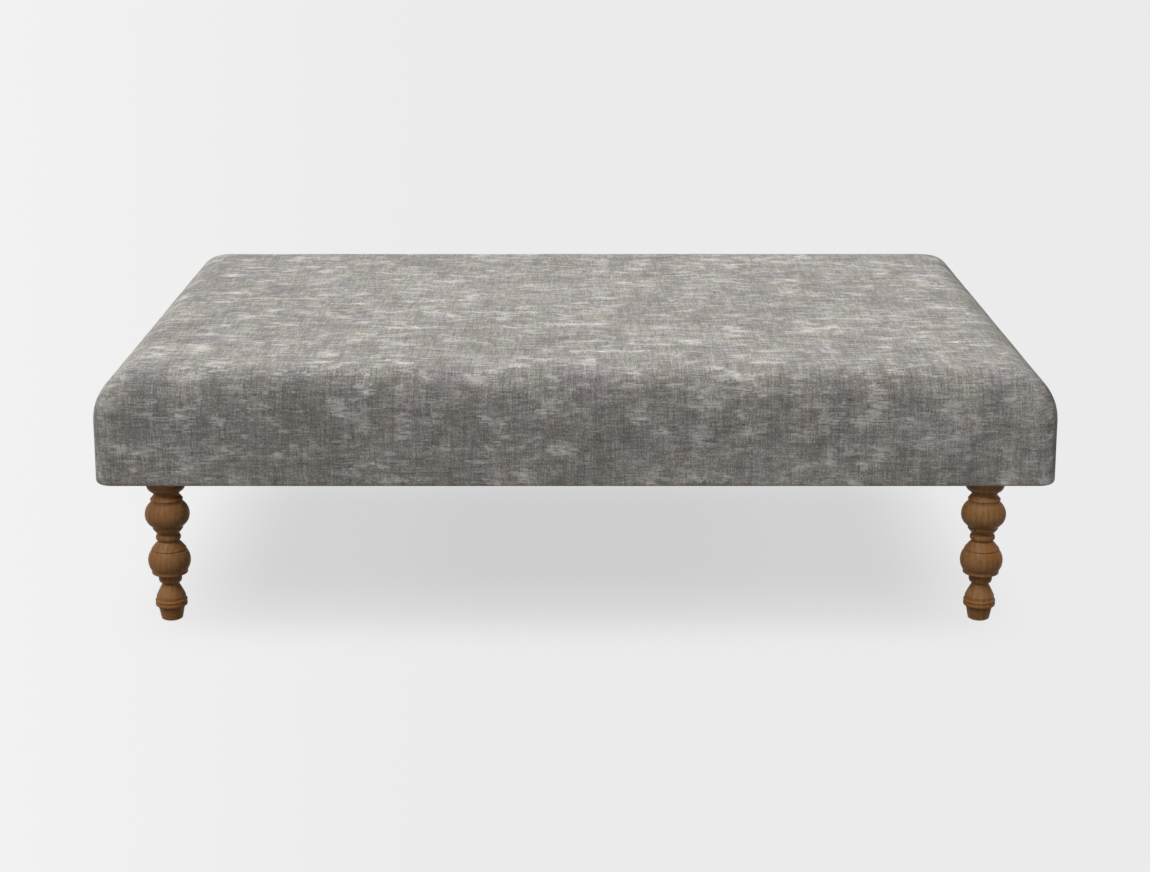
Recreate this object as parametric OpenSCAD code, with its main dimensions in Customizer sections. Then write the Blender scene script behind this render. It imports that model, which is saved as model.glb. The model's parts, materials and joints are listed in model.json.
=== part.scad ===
// Rectangular upholstered footstool on four turned wooden legs.
// Millimetres. Origin: centre of the footprint on the floor. +X right, +Y back, +Z up.

/* [Stool] */
// Width over the cover, left to right
stool_w = 1000; // [800:5:1200]
// Depth over the cover, front to back
stool_d = 700; // [560:5:900]
// Height of the middle of the top above its edges
crown = 2; // [0.5:0.5:6]

/* [Upholstery layers] */
// Thickness of the cover fabric
cover_t = 1.5; // [1:0.1:3]
// Width of the cover turned under the frame, from the outside
hem_w = 30; // [24:1:36]
// Corner radius of the hem's inner edge
hem_corner_r = 3; // [1:0.5:8]
// Radius of the edge round the underside
under_edge_r = 4.6; // [3:0.1:8]
// Thickness of the wadding on the sides
side_wadding_t = 8; // [5:0.5:14]
// Thickness of the wadding on the top
top_wadding_t = 6.5; // [4:0.5:12]
// Clearance between soft layers
layer_gap = 0.3; // [0.2:0.1:0.6]
// Thickness of the seat foam
foam_t = 50; // [40:1:70]
// How far the foam's rounded top edge reaches in
foam_round_in = 37; // [24:1:50]
// Height of the foam's side left upright below the rounded edge
foam_upright_h = 3.5; // [2:0.5:12]
// Corner radius of the foam in plan, halfway up
foam_corner_r = 13; // [11:0.5:24]
// Corner radius of the foam in plan, at the flat top
foam_top_corner_r = 2; // [1:0.5:8]
// Thickness of the hessian under the foam
hessian_t = 0.9; // [0.6:0.1:1.6]
// How far the hessian's edge lies inside the frame's
hessian_inset = 5; // [4:0.5:10]
// Thickness of the dust cover
dust_t = 0.6; // [0.4:0.1:1]
// How far the dust cover's edge lies inside the frame's
dust_inset = 6; // [4:0.5:12]

/* [Frame] */
// Thickness of the rails
rail_t = 22; // [18:0.5:28]
// Height of the rails
rail_h = 56; // [50:1:75]
// Radius of the frame's outer corners
frame_corner_r = 9; // [5:0.5:14]
// How far the middle rail's top lies below the others
mid_rail_drop = 14; // [10:1:20]
// Side of the corner blocks, which stand centred over the legs
block_w = 64; // [60:1:76]
// Height of the corner blocks
block_h = 42; // [38:1:48]
// Cut across the inner corner of the blocks
block_cut = 12; // [6:1:13]
// Radius of the dowels
dowel_r = 4; // [3:0.5:5]
// Bevel on the ends of the dowels
dowel_bevel = 1; // [0.5:0.1:1.5]
// Length of the dowels in the long rails
dowel_in_long = 14; // [10:1:16]
// Length of the dowels in the short rails
dowel_in_short = 26; // [20:1:34]
// Height of the lower dowel above the frame's underside
dowel_low_h = 14; // [12:0.5:16]
// Height between the two dowels of a joint
dowel_rise = 28; // [26:0.5:29]

/* [Webbing] */
// Width of the webbing
web_w = 50; // [40:1:56]
// Thickness of the webbing
web_t = 1.5; // [1:0.1:2]
// Number of straps from left to right
long_straps = 6; // [4:1:6]
// Number of straps from front to back
cross_straps = 8; // [6:1:8]
// Length of the end folded back on itself
web_fold = 16; // [10:1:20]
// How far the strap ends stay inside the frame's edge
web_end_gap = 3; // [2:0.5:5]
// Straight length beside each crossing
web_straight = 4; // [2:0.5:8]

/* [Fixings] */
// Side of the leg plates
plate_w = 54; // [50:1:58]
// Thickness of the leg plates
plate_t = 1.5; // [1.2:0.1:2.5]
// Corner radius of the leg plates
plate_corner_r = 6; // [3:0.5:10]
// Radius of the plate's threaded collar
plate_boss_r = 6; // [5.5:0.1:7.5]
// Height of the plate's threaded collar
plate_boss_h = 8; // [5:0.5:12]
// Distance of the plate screws from the plate's middle, each way
plate_screw_at = 19; // [16:0.5:20]
// Radius of the hanger bolts
bolt_r = 4; // [3:0.5:4.5]
// Length of bolt in the leg
bolt_in_leg = 25; // [18:1:30]
// Length of bolt above the leg
bolt_above_leg = 25; // [20:1:34]
// Clearance between a fixing and its hole
fixing_gap = 0.1; // [0.05:0.05:0.3]
// Clearance past the end of a fixing
end_gap = 0.5; // [0.3:0.1:1.5]
// Radius of the frame screws
screw_r = 2.25; // [2:0.05:2.5]
// Length of the frame screws
screw_l = 50; // [42:1:56]
// Radius of the plate screws
plate_screw_r = 1.75; // [1.5:0.05:2]
// Length of the plate screws
plate_screw_l = 15; // [12:1:16]
// Radius of a screw's head over that of its shank
head_ratio = 2; // [1.8:0.1:2.2]
// Distance of the block screws from the block's middle
block_screw_at = 16; // [14:0.5:18]
// Height of the long rails' block screws above the block's underside
long_screw_h = 19; // [18:0.5:20]
// Height of the short rails' block screws above the block's underside
short_screw_h = 32; // [30:0.5:33]
// Height of the middle rail's lower screws above the frame's underside
mid_screw_low_h = 12; // [10:0.5:14]
// Height between the middle rail's two screws
mid_screw_rise = 17; // [14:0.5:19]
// Radius of the foot glides
glide_r = 9; // [7:0.5:10]
// Thickness of the foot glides
glide_t = 1.6; // [1:0.1:3]
// Edge bevel of the foot glides
glide_bevel = 0.6; // [0.3:0.1:0.9]
// Radius of a glide's nail
nail_r = 1.1; // [0.8:0.1:1.6]
// Length of a glide's nail
nail_l = 14; // [8:1:20]

/* [Leg turning, from the top down] */
// Height of the top collar
collar_h = 12.8; // [8:0.1:18]
// Radius of the top collar
collar_r = 21.1; // [19:0.1:24]
// Height of the rounding under the collar
ovolo_h = 9; // [6:0.1:12]
// Radius at the foot of that rounding
ovolo_foot_r = 15.6; // [14.5:0.1:17]
// Height of the thin lip under it
lip_h = 1.4; // [0.8:0.1:3]
// Radius of the thin lip
lip_r = 15; // [14:0.1:15.5]
// Height of the cove under the lip
cove_h = 3.2; // [2:0.1:5]
// Radius at the bottom of the cove
cove_r = 13.6; // [11.5:0.1:13.8]
// Height of the cone under the cove
flare_h = 4.4; // [3:0.1:7]
// Widest radius of that cone
flare_r = 17.3; // [15:0.1:19]
// Height of the plain band above the upper bulb
band_h = 1.2; // [0.8:0.1:3]
// Width of the cut lines
line_w = 0.8; // [0.5:0.1:1.2]
// Depth of the cut lines
line_d = 0.7; // [0.4:0.1:1]
// Height of the upright start of the upper bulb
bulb_start_h = 1.8; // [0.5:0.1:3]
// Radius where the upper bulb starts
bulb_start_r = 17; // [15:0.1:18]
// Widest radius of the upper bulb
bulb_r = 23.8; // [21:0.1:25]
// Radius of the curve above the upper bulb's widest place
bulb_curve_above = 16.8; // [14:0.1:20]
// Radius of the curve below it
bulb_curve_below = 15; // [13:0.1:19]
// Radius where the upper bulb ends
bulb_end_r = 16.6; // [15:0.1:18]
// Height of the band under the upper bulb
bulb_band_h = 2.8; // [1:0.1:4]
// Radius of that band
bulb_band_r = 16.1; // [14:0.1:16.2]
// Height of the cone down to the waist
waist_cone_h = 5.8; // [4:0.1:8]
// Radius of the waist
waist_r = 11.3; // [9:0.1:12.5]
// Height of the upright gap above and below the ring at the waist
waist_gap_h = 1; // [0.5:0.1:2]
// Height of the ring at the waist
waist_ring_h = 6.4; // [4:0.1:8]
// Radius of that ring
waist_ring_r = 13.4; // [12.8:0.1:16]
// Height of the shoulder cone
shoulder_h = 8.4; // [6:0.1:11]
// Radius at the foot of the shoulder cone
shoulder_r = 18.5; // [16:0.1:19.5]
// Height of the band under the shoulder cone
shoulder_band_h = 0.6; // [0.4:0.1:2]
// Widest radius of the lower bulb
belly_r = 22.7; // [20.5:0.1:25]
// Radius of the lower bulb's curve
belly_curve = 18.6; // [15:0.1:22]
// Radius where the lower bulb ends
belly_end_r = 19.5; // [17:0.1:20]
// Height of the lip under the lower bulb
belly_lip_h = 4.1; // [2:0.1:5]
// Radius of that lip
belly_lip_r = 19.2; // [17:0.1:19.3]
// Edge rounding of that lip
belly_lip_round = 0.8; // [0.4:0.1:1.2]
// Height of the undercut neck
undercut_h = 2.3; // [1.5:0.1:5]
// Radius of the undercut neck
undercut_r = 11.6; // [9.5:0.1:12]
// Height of the lower ring
low_ring_h = 8.6; // [6:0.1:11]
// Radius of the lower ring
low_ring_r = 12.45; // [12.1:0.05:15]
// Radius of the ankle, the narrowest place
ankle_r = 9.15; // [7.5:0.05:10.5]
// Height of the ankle
ankle_h = 1.8; // [0.8:0.1:4]
// Height of the bell
bell_h = 12.8; // [9:0.1:18]
// Radius at the foot of the bell
bell_r = 15.6; // [13:0.1:16]
// How far the cones swell out from straight
cone_swell = 0.2; // [0:0.05:0.6]
// Height of the band under the bell
bell_band_h = 3.4; // [1.5:0.1:5]
// Height of each thin bead above the foot
bead_h = 3.6; // [2.5:0.1:5]
// Height of the groove between the beads
bead_gap_h = 0.4; // [0.2:0.1:1]
// Radius of the beads
bead_r = 17.1; // [15.8:0.1:19]
// Radius at the top of the foot
foot_top_r = 14.3; // [12:0.1:14.5]
// Radius at the bottom of the foot
foot_low_r = 11.5; // [10.5:0.1:12]
// Height of the foot
foot_h = 15; // [10:0.1:30]
// Edge rounding at the bottom of the foot
foot_round = 0.9; // [0.5:0.1:1.5]

/* [Hidden] */

// Where things stand in plan: the four corners, front left first
FRONT_LEFT = [-1, -1];
FRONT_RIGHT = [1, -1];
REAR_LEFT = [-1, 1];
REAR_RIGHT = [1, 1];
CORNERS = [FRONT_LEFT, FRONT_RIGHT, REAR_LEFT, REAR_RIGHT];

round_steps = 96;
hole_steps = 48;
fine_steps = 8;
ring_steps = 6;
coarse_steps = 4;
over = 1;

// The frame is the cover's outline less the soft layers on its sides
side_t = side_wadding_t + cover_t;
frame_w = stool_w - 2 * side_t;
frame_d = stool_d - 2 * side_t;
inner_x = frame_w / 2 - rail_t;
inner_y = frame_d / 2 - rail_t;
leg_x = inner_x - block_w / 2;
leg_y = inner_y - block_w / 2;

// Heights down the leg at which each turned member starts
ovolo_t = collar_h;
lip_t = ovolo_t + ovolo_h;
cove_t = lip_t + lip_h;
flare_t = cove_t + cove_h;
band_t = flare_t + flare_h;
line_t = band_t + band_h;
bulb_t = line_t + line_w;
bulb_above = arc_rise(bulb_curve_above, bulb_r - bulb_start_r);
bulb_below = arc_rise(bulb_curve_below, bulb_r - bulb_end_r);
bulb_mid_t = bulb_t + bulb_start_h + bulb_above;
bulb_band_t = bulb_mid_t + bulb_below;
waist_cone_t = bulb_band_t + bulb_band_h;
waist_ring_t = waist_cone_t + waist_cone_h + waist_gap_h;
waist_gap_t = waist_ring_t + waist_ring_h;
shoulder_t = waist_gap_t + waist_gap_h;
shoulder_band_t = shoulder_t + shoulder_h;
belly_line_t = shoulder_band_t + shoulder_band_h;
belly_t = belly_line_t + line_w;
belly_above = arc_rise(belly_curve, belly_r - shoulder_r);
belly_below = arc_rise(belly_curve, belly_r - belly_end_r);
belly_mid_t = belly_t + belly_above;
belly_lip_t = belly_mid_t + belly_below;
undercut_t = belly_lip_t + belly_lip_h;
low_ring_t = undercut_t + undercut_h;
ankle_t = low_ring_t + low_ring_h;
bell_t = ankle_t + ankle_h;
bell_band_t = bell_t + bell_h;
upper_bead_t = bell_band_t + bell_band_h;
lower_bead_t = upper_bead_t + bead_h + bead_gap_h;
foot_t = lower_bead_t + bead_h;
leg_h = foot_t + foot_h;

// Levels above the floor
leg_top_z = glide_t + leg_h;
hem_z = leg_top_z + dust_t;
frame_z = hem_z + cover_t;
block_z = hem_z + plate_t;
web_z = frame_z + rail_h;
hessian_z = web_z + 2 * web_t;
foam_z = hessian_z + hessian_t;
foam_top_z = foam_z + foam_t;

// Height that a circular arc needs to move sideways by a given amount
function arc_rise(curve, sideways) = sqrt(curve * curve - pow(curve - sideways, 2));

// The leg's outline is a list of [radius, depth below the leg's top].
// A rounding that curves in from one radius to another
function turned_ovolo(t, h, r_top, r_foot, steps) =
    [for (i = [0:steps]) let (a = 90 * i / steps) [r_foot + (r_top - r_foot) * cos(a), t + h * sin(a)]];

// A hollow that curves in from one radius to another
function turned_cove(t, h, r_top, r_foot, steps) =
    [for (i = [0:steps]) let (a = 90 * i / steps) [r_top - (r_top - r_foot) * sin(a), t + h * (1 - cos(a))]];

// A ring that stands out between two radii
function turned_ring(t, h, r_top, r_foot, r_ring, steps) =
    [for (i = [0:2 * steps]) let (a = 90 * i / steps, base = i < steps ? r_top : r_foot)
        [base + (r_ring - base) * sin(a), t + h * (1 - cos(a)) / 2]];

// A bulb whose curve differs above and below its widest place
function turned_bulb(mid_t, r_bulb, above, curve_above, below, curve_below, steps) =
    let (from = asin(above / curve_above), to = asin(below / curve_below))
    [for (i = [-steps:steps])
        let (curve = i < 0 ? curve_above : curve_below, a = (i < 0 ? from : to) * i / steps)
        [r_bulb - curve + curve * cos(a), mid_t + curve * sin(a)]];

// A cone that swells a little
function turned_cone(t, h, r_top, r_foot, steps) =
    [for (i = [0:steps]) let (share = i / steps)
        [r_top + (r_foot - r_top) * share + cone_swell * sin(180 * share), t + h * share]];

// A thin line cut into the wood
function cut_line(t, r) = [[r, t], [r - line_d, t + line_w / 2], [r, t + line_w]];

function leg_outline() = concat(
    [[0, 0], [collar_r, 0]],
    turned_ovolo(ovolo_t, ovolo_h, collar_r, ovolo_foot_r, fine_steps),
    [[lip_r, lip_t]],
    turned_cove(cove_t, cove_h, lip_r, cove_r, coarse_steps),
    [[flare_r, band_t]],
    cut_line(line_t, bulb_start_r),
    turned_bulb(bulb_mid_t, bulb_r, bulb_above, bulb_curve_above, bulb_below, bulb_curve_below, fine_steps),
    [[bulb_band_r, bulb_band_t]],
    turned_cone(waist_cone_t, waist_cone_h, bulb_band_r, waist_r, coarse_steps),
    turned_ring(waist_ring_t, waist_ring_h, waist_r, waist_r, waist_ring_r, ring_steps),
    turned_cone(shoulder_t, shoulder_h, waist_r, shoulder_r, coarse_steps),
    cut_line(belly_line_t, shoulder_r),
    turned_bulb(belly_mid_t, belly_r, belly_above, belly_curve, belly_below, belly_curve, fine_steps),
    [[belly_lip_r, belly_lip_t]],
    turned_ovolo(undercut_t - belly_lip_round, belly_lip_round,
        belly_lip_r, belly_lip_r - belly_lip_round, coarse_steps),
    [[undercut_r, undercut_t]],
    turned_ring(low_ring_t, low_ring_h, undercut_r, ankle_r, low_ring_r, ring_steps),
    turned_cone(bell_t, bell_h, ankle_r, bell_r, coarse_steps),
    turned_ring(upper_bead_t, bead_h, bell_r, bead_r - line_d, bead_r, coarse_steps),
    turned_ring(lower_bead_t, bead_h, bead_r - line_d, bead_r - line_d, bead_r, coarse_steps),
    [[foot_top_r, foot_t]],
    turned_ovolo(leg_h - foot_round, foot_round, foot_low_r, foot_low_r - foot_round, coarse_steps),
    [[0, leg_h]]
);

// A leg, standing on the origin
module turned_leg() {
    color([0.50, 0.33, 0.19])
        difference() {
            translate([0, 0, leg_top_z])
                rotate_extrude($fn = round_steps)
                    polygon([for (p = leg_outline()) [p[0], -p[1]]]);
            translate([0, 0, leg_top_z - bolt_in_leg - end_gap])
                cylinder(r = bolt_r + fixing_gap, h = bolt_in_leg + end_gap + over, $fn = hole_steps);
            translate([0, 0, glide_t - over])
                cylinder(r = nail_r + fixing_gap, h = nail_l + end_gap + over, $fn = hole_steps);
        }
}

// Puts a leg, a plate or a bolt under its corner
module at_leg(corner) {
    translate([corner[0] * leg_x, corner[1] * leg_y, 0])
        children();
}

module foot_glide() {
    rotate_extrude($fn = hole_steps)
        polygon([
            [0, 0],
            [glide_r - glide_bevel, 0],
            [glide_r, glide_bevel],
            [glide_r, glide_t],
            [nail_r, glide_t],
            [nail_r, glide_t + nail_l - 2 * nail_r],
            [0, glide_t + nail_l],
        ]);
}

module foot_glides() {
    color([0.80, 0.78, 0.74])
        for (corner = CORNERS)
            at_leg(corner)
                foot_glide();
}

// Wood thread with a point in the leg, machine thread in the plate
module hanger_bolts() {
    color("silver")
        for (corner = CORNERS)
            at_leg(corner)
                translate([0, 0, leg_top_z - bolt_in_leg])
                    rotate_extrude($fn = hole_steps)
                        polygon([
                            [0, 0],
                            [bolt_r, 2 * bolt_r],
                            [bolt_r, bolt_in_leg + bolt_above_leg],
                            [0, bolt_in_leg + bolt_above_leg],
                        ]);
}

// A countersunk screw pointing up, its head's face at the origin, or the hole it is driven into
module screw(r, l, gap = 0) {
    head_r = head_ratio * r;
    head_h = head_r - r;
    rotate_extrude($fn = hole_steps)
        polygon([
            [0, -over * sign(gap)],
            [head_r + gap, -over * sign(gap)],
            [head_r + gap, 0],
            [r + gap, head_h],
            [r + gap, l - 2 * r + sign(gap) * (2 * r + end_gap)],
            [0, l + sign(gap) * end_gap],
        ]);
}

module plate_screws_at(corner, gap = 0) {
    at_leg(corner)
        for (side = CORNERS)
            translate([side[0] * plate_screw_at, side[1] * plate_screw_at, hem_z])
                screw(plate_screw_r, plate_screw_l, gap);
}

module plate_screws() {
    color("silver")
        for (corner = CORNERS)
            plate_screws_at(corner);
}

// A square plate with round corners
module plate_outline() {
    straight = plate_w - 2 * plate_corner_r;
    square([plate_w, straight], center = true);
    square([straight, plate_w], center = true);
    for (side = CORNERS)
        translate([side[0] * straight / 2, side[1] * straight / 2])
            circle(r = plate_corner_r, $fn = hole_steps);
}

module leg_plate(corner) {
    color([0.62, 0.62, 0.64])
        difference() {
            at_leg(corner)
                translate([0, 0, hem_z]) {
                    linear_extrude(plate_t)
                        plate_outline();
                    cylinder(r = plate_boss_r, h = plate_t + plate_boss_h, $fn = hole_steps);
                }
            at_leg(corner)
                translate([0, 0, hem_z - over])
                    cylinder(r = bolt_r + fixing_gap, h = plate_t + plate_boss_h + 2 * over, $fn = hole_steps);
            plate_screws_at(corner, fixing_gap);
        }
}

// Two screws from a long rail and two from a short rail into a corner block
module long_rail_screws_at(corner, gap = 0) {
    for (side = [-1, 1])
        translate([
            corner[0] * leg_x + side * block_screw_at,
            corner[1] * frame_d / 2,
            block_z + long_screw_h,
        ])
            rotate([90 * corner[1], 0, 0])
                screw(screw_r, screw_l, gap);
}

module short_rail_screws_at(corner, gap = 0) {
    for (side = [-1, 1])
        translate([
            corner[0] * frame_w / 2,
            corner[1] * leg_y + side * block_screw_at,
            block_z + short_screw_h,
        ])
            rotate([0, -90 * corner[0], 0])
                screw(screw_r, screw_l, gap);
}

// Two screws through a long rail into the middle rail's end
module middle_rail_screws_at(end, gap = 0) {
    for (rise = [0, mid_screw_rise])
        translate([0, end * frame_d / 2, frame_z + mid_screw_low_h + rise])
            rotate([90 * end, 0, 0])
                screw(screw_r, screw_l, gap);
}

module frame_screws() {
    color("silver") {
        for (corner = CORNERS) {
            long_rail_screws_at(corner);
            short_rail_screws_at(corner);
        }
        for (end = [-1, 1])
            middle_rail_screws_at(end);
    }
}

// A dowel lying along Y, its long-rail end at the origin's +Y side, or its hole
module dowel(gap = 0) {
    longer = gap > 0 ? end_gap : 0;
    bevel = gap > 0 ? 0 : dowel_bevel;
    low = -dowel_in_long - longer;
    high = dowel_in_short + longer;
    rotate([90, 0, 0])
        translate([0, 0, low])
            union() {
                cylinder(r1 = dowel_r - bevel + gap, r2 = dowel_r + gap, h = dowel_bevel, $fn = hole_steps);
                translate([0, 0, dowel_bevel])
                    cylinder(r = dowel_r + gap, h = high - low - 2 * dowel_bevel, $fn = hole_steps);
                translate([0, 0, high - low - dowel_bevel])
                    cylinder(r1 = dowel_r + gap, r2 = dowel_r - bevel + gap, h = dowel_bevel, $fn = hole_steps);
            }
}

module dowels_at(corner, gap = 0) {
    for (rise = [0, dowel_rise])
        translate([
            corner[0] * (frame_w - rail_t) / 2,
            corner[1] * inner_y,
            frame_z + dowel_low_h + rise,
        ])
            rotate([0, 0, corner[1] > 0 ? 0 : 180])
                dowel(gap);
}

module frame_dowels() {
    color([0.84, 0.72, 0.52])
        for (corner = CORNERS)
            dowels_at(corner);
}

// Front or rear rail, full width with round outer corners
module long_rail(end) {
    color([0.86, 0.75, 0.56])
        difference() {
            translate([0, 0, frame_z])
                linear_extrude(rail_h)
                    mirror([0, end > 0 ? 0 : 1, 0]) {
                        translate([-frame_w / 2, inner_y])
                            square([frame_w, rail_t - frame_corner_r]);
                        translate([frame_corner_r - frame_w / 2, inner_y])
                            square([frame_w - 2 * frame_corner_r, rail_t]);
                        for (side = [-1, 1])
                            translate([side * (frame_w / 2 - frame_corner_r), frame_d / 2 - frame_corner_r])
                                circle(r = frame_corner_r, $fn = hole_steps);
                    }
            for (side = [-1, 1]) {
                dowels_at([side, end], fixing_gap);
                long_rail_screws_at([side, end], fixing_gap);
            }
            middle_rail_screws_at(end, fixing_gap);
        }
}

module side_rail(side) {
    color([0.86, 0.75, 0.56])
        difference() {
            translate([side * (frame_w - rail_t) / 2, 0, frame_z + rail_h / 2])
                cube([rail_t, 2 * inner_y, rail_h], center = true);
            for (end = [-1, 1]) {
                dowels_at([side, end], fixing_gap);
                short_rail_screws_at([side, end], fixing_gap);
            }
        }
}

module middle_rail() {
    color([0.84, 0.73, 0.54])
        difference() {
            translate([-rail_t / 2, -inner_y, frame_z])
                cube([rail_t, 2 * inner_y, rail_h - mid_rail_drop]);
            for (end = [-1, 1])
                middle_rail_screws_at(end, fixing_gap);
        }
}

// Square block in the frame's corner, its inner corner cut off
function block_outline() =
    let (half = block_w / 2)
    [[half, -half], [half, half], [-half, half], [-half, block_cut - half], [block_cut - half, -half]];

module corner_block(corner) {
    color([0.82, 0.70, 0.50])
        difference() {
            at_leg(corner)
                translate([0, 0, block_z])
                    linear_extrude(block_h)
                        polygon([for (p = block_outline()) [corner[0] * p[0], corner[1] * p[1]]]);
            at_leg(corner) {
                translate([0, 0, block_z - over])
                    cylinder(r = plate_boss_r + fixing_gap, h = plate_boss_h + end_gap + over, $fn = hole_steps);
                translate([0, 0, block_z])
                    cylinder(
                        r = bolt_r + fixing_gap,
                        h = leg_top_z + bolt_above_leg + end_gap - block_z,
                        $fn = hole_steps
                    );
            }
            plate_screws_at(corner, fixing_gap);
            long_rail_screws_at(corner, fixing_gap);
            short_rail_screws_at(corner, fixing_gap);
        }
}

// Webbing: each strap passes over and under the others, and lies on the rails at its ends
function strap_place(i, count, inner) = (2 * i - count + 1) * inner / count;
function strap_level(i, j) = (i + j) % 2 * web_t;

// The strap's height along its length, as [distance, height]
function strap_path(half, inner, count, other, flip) =
    let (flat = web_w / 2 + web_straight)
    concat(
        [[-half, 0], [web_straight - inner, 0]],
        [for (i = [0:count - 1]) for (side = [-1, 1])
            [strap_place(i, count, inner) + side * flat, strap_level(i, other + flip)]],
        [[inner - web_straight, 0], [half, 0]]
    );

// A strap along X, with its ends folded back on top
module strap(half, inner, count, other, flip) {
    path = strap_path(half, inner, count, other, flip);
    last = len(path) - 1;
    rotate([90, 0, 0])
        linear_extrude(web_w, center = true)
            polygon(concat(
                path,
                [[half, 2 * web_t], [half - web_fold, 2 * web_t], [half - web_fold, web_t]],
                [for (i = [last - 1:-1:1]) [path[i][0], path[i][1] + web_t]],
                [[web_fold - half, web_t], [web_fold - half, 2 * web_t], [-half, 2 * web_t]]
            ));
}

module lengthwise_webbing() {
    color([0.66, 0.55, 0.38])
        for (j = [0:long_straps - 1])
            translate([0, strap_place(j, long_straps, inner_y), web_z])
                strap(frame_w / 2 - web_end_gap, inner_x, cross_straps, j, 0);
}

module crosswise_webbing() {
    color([0.60, 0.49, 0.33])
        for (i = [0:cross_straps - 1])
            translate([strap_place(i, cross_straps, inner_x), 0, web_z])
                rotate([0, 0, 90])
                    strap(frame_d / 2 - web_end_gap, inner_y, long_straps, i, 1);
}

module hessian() {
    color([0.72, 0.62, 0.45])
        translate([0, 0, hessian_z + hessian_t / 2])
            cube([frame_w - 2 * hessian_inset, frame_d - 2 * hessian_inset, hessian_t], center = true);
}

module dust_cover() {
    color([0.12, 0.12, 0.13])
        difference() {
            translate([0, 0, leg_top_z + dust_t / 2])
                cube([frame_w - 2 * dust_inset, frame_d - 2 * dust_inset, dust_t], center = true);
            for (corner = CORNERS)
                at_leg(corner)
                    translate([0, 0, leg_top_z - over])
                        cylinder(r = bolt_r + fixing_gap, h = dust_t + 2 * over, $fn = hole_steps);
        }
}

// The soft layers are built from level rings, each [half width, half depth, corner radius, height].
// The roll along the top edge gets tighter corners the further in it goes.
function roll_corner_r(out, inset) =
    let (drop = foam_corner_r - foam_top_corner_r)
    foam_top_corner_r + out + drop * exp(-inset / drop);

// Rings from the shoulder over the roll and the crown, this far outside and above the foam
function top_levels(out, above) = concat(
    [for (i = [0:fine_steps])
        let (
            turn = 90 * i / fine_steps,
            inset = (foam_round_in + out) * (1 - cos(turn)),
            rise = (foam_t - foam_upright_h + above) * sin(turn)
        )
        [
            frame_w / 2 + out - inset,
            frame_d / 2 + out - inset,
            roll_corner_r(out, inset),
            foam_z + foam_upright_h + rise,
        ]],
    [for (i = [1:coarse_steps])
        let (share = 1 - i / (coarse_steps + 1))
        [
            share * (frame_w / 2 - foam_round_in),
            share * (frame_d / 2 - foam_round_in),
            share * roll_corner_r(out, foam_round_in + out),
            foam_top_z + above + crown * (1 - share * share),
        ]]
);

// A ring beside the frame, this far outside it
function side_level(out, z) = [frame_w / 2 + out, frame_d / 2 + out, frame_corner_r + out, z];

// Rings round the edge of the underside, from its flat part to the side
function under_levels(out, r) =
    [for (i = [0:coarse_steps]) let (turn = 90 * i / coarse_steps)
        side_level(out - r * (1 - sin(turn)), hem_z + under_edge_r - r * cos(turn))];

function hem_level(z) = [stool_w / 2 - hem_w, stool_d / 2 - hem_w, hem_corner_r, z];

function level_points(level) =
    [for (quarter = [0:3]) for (i = [0:ring_steps])
        let (
            turn = 90 * (quarter + i / ring_steps),
            side_x = quarter == 0 || quarter == 3 ? 1 : -1,
            side_y = quarter < 2 ? 1 : -1
        )
        [
            side_x * (level[0] - level[2]) + level[2] * cos(turn),
            side_y * (level[1] - level[2]) + level[2] * sin(turn),
            level[3],
        ]];

// A closed skin over a chain of rings, from one middle point to another
module ringed_solid(first_z, levels, last_z) {
    count = 4 * (ring_steps + 1);
    rings = [for (level = levels) each level_points(level)];
    last = 1 + len(rings);
    below = [for (j = [0:count - 1]) [0, 1 + j, 1 + (j + 1) % count]];
    between = [for (i = [0:len(levels) - 2]) for (j = [0:count - 1])
        let (
            low = 1 + i * count + j,
            low_next = 1 + i * count + (j + 1) % count
        )
        each [[low, low + count, low_next + count], [low, low_next + count, low_next]]];
    above = [for (j = [0:count - 1]) [last, last - count + (j + 1) % count, last - count + j]];
    polyhedron(
        points = concat([[0, 0, first_z]], rings, [[0, 0, last_z]]),
        faces = concat(below, between, above)
    );
}

function reversed(list) = [for (i = [len(list) - 1:-1:0]) list[i]];

module foam_pad() {
    color([0.93, 0.89, 0.72])
        ringed_solid(
            foam_z,
            concat([[frame_w / 2, frame_d / 2, foam_corner_r, foam_z]], top_levels(0, 0)),
            foam_top_z + crown
        );
}

// Wadding over the foam and down the sides of the frame
module wadding() {
    inside = layer_gap;
    outside = side_wadding_t - layer_gap;
    above = top_wadding_t - layer_gap;
    color([0.95, 0.95, 0.95])
        ringed_solid(
            foam_top_z + inside + crown,
            concat(
                reversed(concat(
                    [side_level(inside, frame_z + layer_gap), side_level(inside, web_z)],
                    top_levels(inside, inside)
                )),
                under_levels(outside, under_edge_r - cover_t - layer_gap),
                [side_level(outside, web_z)],
                top_levels(outside, above)
            ),
            foam_top_z + above + crown
        );
}

// The cover, pulled over everything and turned under the frame
module fabric_cover() {
    color([0.56, 0.56, 0.55])
        ringed_solid(
            foam_top_z + top_wadding_t + crown,
            concat(
                reversed(concat(
                    [hem_level(frame_z)],
                    under_levels(side_wadding_t, under_edge_r - cover_t),
                    [side_level(side_wadding_t, web_z)],
                    top_levels(side_wadding_t, top_wadding_t)
                )),
                [hem_level(hem_z)],
                under_levels(side_t, under_edge_r),
                [side_level(side_t, web_z)],
                top_levels(side_t, top_wadding_t + cover_t)
            ),
            foam_top_z + top_wadding_t + cover_t + crown
        );
}

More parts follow.
